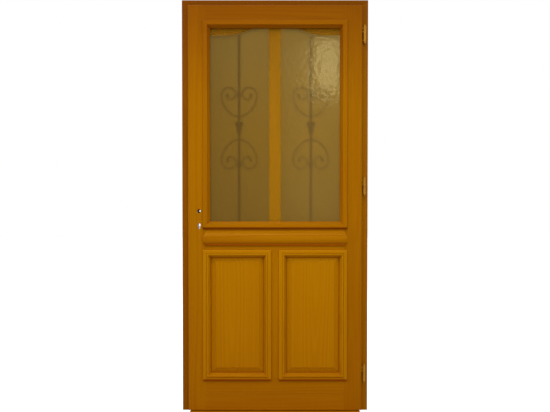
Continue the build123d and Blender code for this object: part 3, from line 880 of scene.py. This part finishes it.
@dataclass
class Glazing:
    """The glazed light: one pane of hammered glass behind mitred beads."""

    mesh_pitch: float = 4.6 * MM
    clearance: float = 0.3 * MM
    dent_pitch: float = 17 * MM
    dent_depth: float = 0.75 * MM
    dent_blur: float = 0.8
    dent_share: float = 0.7
    swell: Speckle = Speckle((22.0, 22.0, 22.0), detail=1.0)
    backing: tuple[str, str] = ("mullion", "top_rail")
    # The shades are partly the timber's tone and partly painted light and shade.
    beads: dict[str, Member] = field(
        default_factory=lambda: {
            "glazing_bead_uprights": (BEAD_TIMBER, Grain.UPRIGHT, 0.91),
            "glazing_bead_crosspieces": (BEAD_TIMBER, Grain.LEVEL, 0.95),
        }
    )

    def build(self) -> list[str]:
        """Dress the beads and make the pane.

        Returns:
            The names of the pieces.
        """
        names = dress_timber(self.beads)
        self._pane()
        return [*names, "hammered_glass"]

    def _pane(self) -> None:
        """Make the pane with dents in its room side, and mark where timber backs it."""
        low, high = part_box("glass")
        size = high - low
        recipe = GeometryRecipe(
            "hammered_pane",
            {
                "Size": (size.x, size.y - 2 * self.clearance, size.z),
                "Middle": tuple((low + high) / 2),
                "Columns": round(size.x / self.mesh_pitch),
                "Rows": round(size.z / self.mesh_pitch),
                "Dent Pitch": self.dent_pitch,
                "Dent Depth": self.dent_depth,
            },
        )
        bench, given = recipe.bench, recipe.given
        place = bench.add("GeometryNodeInputPosition").outputs[0]
        parts = bench.add("ShaderNodeSeparateXYZ", {0: place}).outputs
        feeds = {
            "Size": given["Size"],
            "Vertices X": given["Columns"],
            "Vertices Y": 2,
            "Vertices Z": given["Rows"],
        }
        slab = bench.add("GeometryNodeMeshCube", feeds).outputs[0]
        feeds = {0: parts[1], 1: 0.0}
        room_side = bench.add("FunctionNodeCompare", feeds, operation="LESS_THAN").outputs[0]
        push = bench.add("ShaderNodeCombineXYZ", {1: self._dent(recipe, place)}).outputs[0]
        feeds = {"Geometry": slab, "Selection": room_side, "Offset": push}
        hammered = bench.add("GeometryNodeSetPosition", feeds).outputs[0]
        feeds = {"Geometry": hammered, "Translation": given["Middle"]}
        seated = bench.add("GeometryNodeTransform", feeds).outputs[0]
        feeds = {0: parts[0], 1: high.y - self.clearance, 2: parts[2]}
        behind = bench.add("ShaderNodeCombineXYZ", feeds).outputs[0]
        feeds = {"Geometry": seated, "Name": "backed", "Value": self._reach(bench, behind)}
        marked = bench.add("GeometryNodeStoreNamedAttribute", feeds).outputs[0]
        smooth = bench.add("GeometryNodeSetShadeSmooth", {"Geometry": marked}).outputs[0]
        recipe.end(smooth, GLASS.material("amber_glass", "backed"))
        pane = recipe.build("hammered_glass", point_mesh("pane_start", [Vector((0, 0, 0))]))
        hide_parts("glass")
        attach(pane, LEAF_BODY)

    def _dent(self, recipe: GeometryRecipe, place: bpy.types.NodeSocket) -> bpy.types.NodeSocket:
        """Work out how deep the hammer has dented the pane.

        Args:
            recipe: the pane's recipe.
            place: the place on the pane.

        Returns:
            The depth.
        """
        bench, given = recipe.bench, recipe.given
        cells = bench.dents(place, bench.math("DIVIDE", 1.0, given["Dent Pitch"]), self.dent_blur)
        swell = bench.noise(place, self.swell)
        dent = bench.weigh((cells, self.dent_share), (swell, 1 - self.dent_share))
        return bench.math("MULTIPLY", dent, given["Dent Depth"])

    def _reach(self, bench: NodeBench, behind: bpy.types.NodeSocket) -> bpy.types.NodeSocket:
        """Measure how far the timber lies behind the pane.

        Args:
            bench: the bench of the pane's tree.
            behind: the place on the pane's back.

        Returns:
            The distance to the nearest of the backing members.
        """
        reaches = []
        for name in self.backing:
            feeds = {"Object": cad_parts[name]}
            member = bench.add("GeometryNodeObjectInfo", feeds, transform_space="ORIGINAL")
            feeds = {0: member.outputs["Geometry"], "Sample Position": behind}
            nearest = bench.add("GeometryNodeProximity", feeds, target_element="FACES")
            reaches.append(nearest.outputs["Distance"])
        return bench.math("MINIMUM", *reaches)


@dataclass
class Ironwork:
    """The two wrought iron grilles behind the glass."""

    names: tuple[str, ...] = ("left_grille", "right_grille")

    def build(self) -> list[str]:
        """Dress the grilles and return their names."""
        for name in self.names:
            dress(name, IRON.material(f"iron_{name}"))
        return list(self.names)


@dataclass
class Screws:
    """Screws with low, tapered heads and a cross recess, set on one flat plate."""

    head_radius: float = 3.4 * MM
    head_height: float = 0.5 * MM
    head_sides: int = 28
    head_taper: float = 0.9
    slot_reach: float = 1.2
    slot_width: float = 0.8 * MM
    slot_depth: float = 0.4 * MM

    def build(self, name: str, points: list[Vector], facing: Vector, body: str) -> None:
        """Make the screws of one plate as one mesh.

        Args:
            name: the piece's name.
            points: the middles of the heads, on the plate.
            facing: the way the heads face.
            body: the body that carries the plate.
        """
        recipe = GeometryRecipe(
            f"{name}_recipe",
            {
                "Head Radius": self.head_radius,
                "Head Height": self.head_height,
                "Slot Width": self.slot_width,
                "Facing": tuple(facing),
                "Seed": piece_seed(name),
            },
        )
        bench, given = recipe.bench, recipe.given
        feeds = {"Vector": given["Facing"]}
        turn = bench.add("FunctionNodeAlignEulerToVector", feeds, axis="Z").outputs[0]
        feeds = {"Points": given["Geometry"], "Instance": self._head(recipe), "Rotation": turn}
        spread = bench.add("GeometryNodeInstanceOnPoints", feeds).outputs[0]
        feeds = {"Min": 0.0, "Max": math.pi, "Seed": given["Seed"]}
        spin = bench.add("FunctionNodeRandomValue", feeds, data_type="FLOAT").outputs[1]
        about = bench.add("ShaderNodeCombineXYZ", {2: spin}).outputs[0]
        feeds = {"Instances": spread, "Rotation": about, "Local Space": True}
        placed = bench.add("GeometryNodeRotateInstances", feeds).outputs[0]
        recipe.end(placed, ZINC.material(f"zinc_{name}"))
        piece = recipe.build(name, point_mesh(f"{name}_points", points))
        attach(piece, body)

    def _head(self, recipe: GeometryRecipe) -> bpy.types.NodeSocket:
        """Make one head and cut its cross recess.

        Args:
            recipe: the screws' recipe.

        Returns:
            The head, which faces up.
        """
        bench, given = recipe.bench, recipe.given
        feeds = {
            "Vertices": self.head_sides,
            "Radius Top": bench.math("MULTIPLY", given["Head Radius"], self.head_taper),
            "Radius Bottom": given["Head Radius"],
            "Depth": given["Head Height"],
        }
        solid = bench.add("GeometryNodeMeshCone", feeds, fill_type="NGON").outputs["Mesh"]
        width, depth = given["Slot Width"], 2 * self.slot_depth
        length = bench.math("MULTIPLY", given["Head Radius"], self.slot_reach)
        lift = bench.add("ShaderNodeCombineXYZ", {2: given["Head Height"]}).outputs[0]
        for first, second in ((length, width), (width, length)):
            size = bench.add("ShaderNodeCombineXYZ", {0: first, 1: second, 2: depth}).outputs[0]
            bar = bench.add("GeometryNodeMeshCube", {"Size": size}).outputs[0]
            feeds = {"Geometry": bar, "Translation": lift}
            raised = bench.add("GeometryNodeTransform", feeds).outputs[0]
            feeds = {"Mesh 1": solid, "Mesh 2": raised}
            solid = bench.add("GeometryNodeMeshBoolean", feeds, operation="DIFFERENCE").outputs[0]
        return solid


@dataclass
class Lock:
    """The mortise lock in the stile, with the screws of its forend and of the strike plate."""

    screw_inset: float = 12 * MM
    # The case and follower are dark oiled steel, partly painted shade in the bored holes.
    steel: dict[str, BrushedPlate] = field(
        default_factory=lambda: {
            "lock_case": OILED_SHADED,
            "lock_forend": ZINC,
            "lock_bolts": ZINC,
            "lock_follower": OILED_SHADED,
        }
    )

    def build(self) -> list[str]:
        """Dress the lock and set its screws.

        Returns:
            The names of the pieces.
        """
        for name, finish in self.steel.items():
            dress(name, finish.material(f"steel_{name}"))
        plates = (
            ("forend_screws", "lock_forend", Vector((-1, 0, 0)), LEAF_BODY),
            ("strike_screws", "strike_plate", Vector((1, 0, 0)), FRAME_BODY),
        )
        for name, plate, facing, body in plates:
            low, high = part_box(plate)
            face = low.x if facing.x < 0 else high.x
            middle = (low.y + high.y) / 2
            heights = (low.z + self.screw_inset, high.z - self.screw_inset)
            points = [Vector((face, middle, height)) for height in heights]
            Screws().build(name, points, facing, body)
        return [*self.steel, *(name for name, *_ in plates)]


@dataclass
class Hinges:
    """The three knuckle hinges, with how bright each one's brass is painted for the light at its
    height.
    """

    # Painted light and shade: each hinge's brass is lighter or darker by where it hangs.
    level_shades: dict[str, float] = field(
        default_factory=lambda: {"bottom": 0.90, "middle": 0.82, "top": 0.85}
    )

    def build(self) -> list[str]:
        """Dress the halves of the hinges, each with its brass painted lighter or darker for the
        light at its height.

        Returns:
            The names of the pieces.
        """
        names = []
        for (level, share), half in product(self.level_shades.items(), ("frame", "leaf")):
            name = f"{level}_hinge_{half}_half"
            dress(name, BRASS.shaded_copy(share).material(f"brass_{name}"))
            names.append(name)
        return names


@dataclass(frozen=True)
class Lamp:
    """One soft rectangular lamp; one with a glint is only seen mirrored, in that colour."""

    name: str
    place: Vector
    target: Vector
    size: Span
    watts: float
    beam: float = 180.0
    mirrored: bool = True
    glint: Triple | None = None

    def hang(self) -> None:
        """Hang the lamp in the scene."""
        light = bpy.data.lights.new(self.name, "AREA")
        light.shape = "RECTANGLE"
        light.size, light.size_y = self.size
        light.energy = self.watts
        light.spread = math.radians(self.beam)
        light.color = self.glint or WHITE[:3]
        lamp = bpy.data.objects.new(self.name, light)
        lamp.location = self.place
        lamp.rotation_mode = "QUATERNION"
        lamp.rotation_quaternion = (self.target - self.place).to_track_quat("-Z", "Y")
        lamp.visible_camera = False
        lamp.visible_diffuse = self.glint is None
        lamp.visible_glossy = self.mirrored
        lamp.visible_transmission = False
        bpy.context.scene.collection.objects.link(lamp)


@dataclass
class Studio:
    """A pale floor, soft lamps, a white surround and the camera at the photograph's place.

    The lens and the sensor are in millimetres.
    """

    camera_distance: float = 2.836
    camera_height: float = 1.118
    camera_tilt: float = 0.96
    lens: float = 36.0
    sensor: float = 36.0
    floor_reach: float = 12.0
    floor_gap: float = 0.5 * MM
    ambient: float = 0.65
    warm: Triple = (1.0, 0.90, 0.42)

    @property
    def middle(self) -> float:
        """The door's middle, across."""
        return (cad_low.x + cad_high.x) / 2

    @property
    def face(self) -> float:
        """The depth of the leaf's room face."""
        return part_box("lock_stile")[0].y

    def build(self) -> None:
        """Set the stage, the lamps and the camera."""
        self._floor()
        self._surround()
        self._lamps()
        self._camera()
        bpy.context.scene.view_settings.view_transform = "Standard"

    def _floor(self) -> None:
        """Lay the floor and keep the object's shadow on it."""
        mesh = bpy.data.meshes.new("floor")
        build = bmesh.new()
        bmesh.ops.create_grid(build, x_segments=8, y_segments=8, size=self.floor_reach)
        drop = (self.middle, 0.0, cad_low.z - self.floor_gap)
        bmesh.ops.translate(build, verts=build.verts, vec=drop)
        build.to_mesh(mesh)
        build.free()
        mesh.materials.append(FLOOR.material("pale_floor"))
        floor = bpy.data.objects.new("floor", mesh)
        bpy.context.scene.collection.objects.link(floor)

    def _surround(self) -> None:
        """Light the scene from all round, and show white to the camera, metal and glass."""
        world = bpy.data.worlds.new("surround")
        bpy.context.scene.world = world
        world.use_nodes = True
        bench = NodeBench(world.node_tree)
        backdrop = world.node_tree.nodes["Background"].inputs
        rays = bench.add("ShaderNodeLightPath").outputs
        seen = bench.math("MAXIMUM", rays["Is Camera Ray"], rays["Is Glossy Ray"])
        seen = bench.math("MAXIMUM", seen, rays["Is Transmission Ray"])
        bench.feed(backdrop["Color"], WHITE)
        bench.feed(backdrop["Strength"], bench.stretch(seen, RISING, (self.ambient, 1.0)))

    def _lamps(self) -> None:
        """Hang a steep lamp, a fill at chest height, a window and its glow, and one outside."""
        x, face = self.middle, self.face
        lamps = (
            Lamp(
                "ceiling",
                place=Vector((x - 0.3, -1.4, 3.0)),
                target=Vector((x, face, 0.3)),
                size=(1.8, 0.8),
                watts=6.5,
                beam=80.0,
            ),
            Lamp(
                "fill",
                place=Vector((x, -2.6, 0.8)),
                target=Vector((x, face, 0.5)),
                size=(1.2, 1.0),
                watts=15.0,
                mirrored=False,
            ),
            Lamp(
                "window",
                place=Vector((x + 0.56, -2.95, 2.48)),
                target=Vector((x + 0.28, face, 1.8)),
                size=(0.23, 0.54),
                watts=9.2,
                glint=self.warm,
            ),
            Lamp(
                "glow",
                place=Vector((x + 0.5, -3.0, 1.75)),
                target=Vector((x + 0.25, face, 1.45)),
                size=(0.8, 1.9),
                watts=9.0,
                glint=self.warm,
            ),
            Lamp(
                "outside",
                place=Vector((x, 3.4, 2.4)),
                target=Vector((x, 0.0, 1.1)),
                size=(2.4, 1.6),
                watts=60.0,
            ),
        )
        for lamp in lamps:
            lamp.hang()

    def _camera(self) -> None:
        """Put the camera where the photograph was taken from."""
        data = bpy.data.cameras.new("photograph")
        data.lens = self.lens
        data.sensor_width = self.sensor
        camera = bpy.data.objects.new("photograph", data)
        camera.location = (self.middle, self.face - self.camera_distance, self.camera_height)
        camera.rotation_euler = (math.radians(90 - self.camera_tilt), 0.0, 0.0)
        bpy.context.scene.collection.objects.link(camera)
        bpy.context.scene.camera = camera


def main() -> None:
    """Build the door's sub-assemblies in order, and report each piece."""
    logging.basicConfig(level=logging.INFO, format="%(name)s: %(message)s")
    for assembly in (Casing(), Leaf(), Glazing(), Ironwork(), Lock(), Hinges()):
        for name in assembly.build():
            LOG.info("%s: %s", type(assembly).__name__, name)
    Studio().build()


if __name__ == "__main__":
    main()
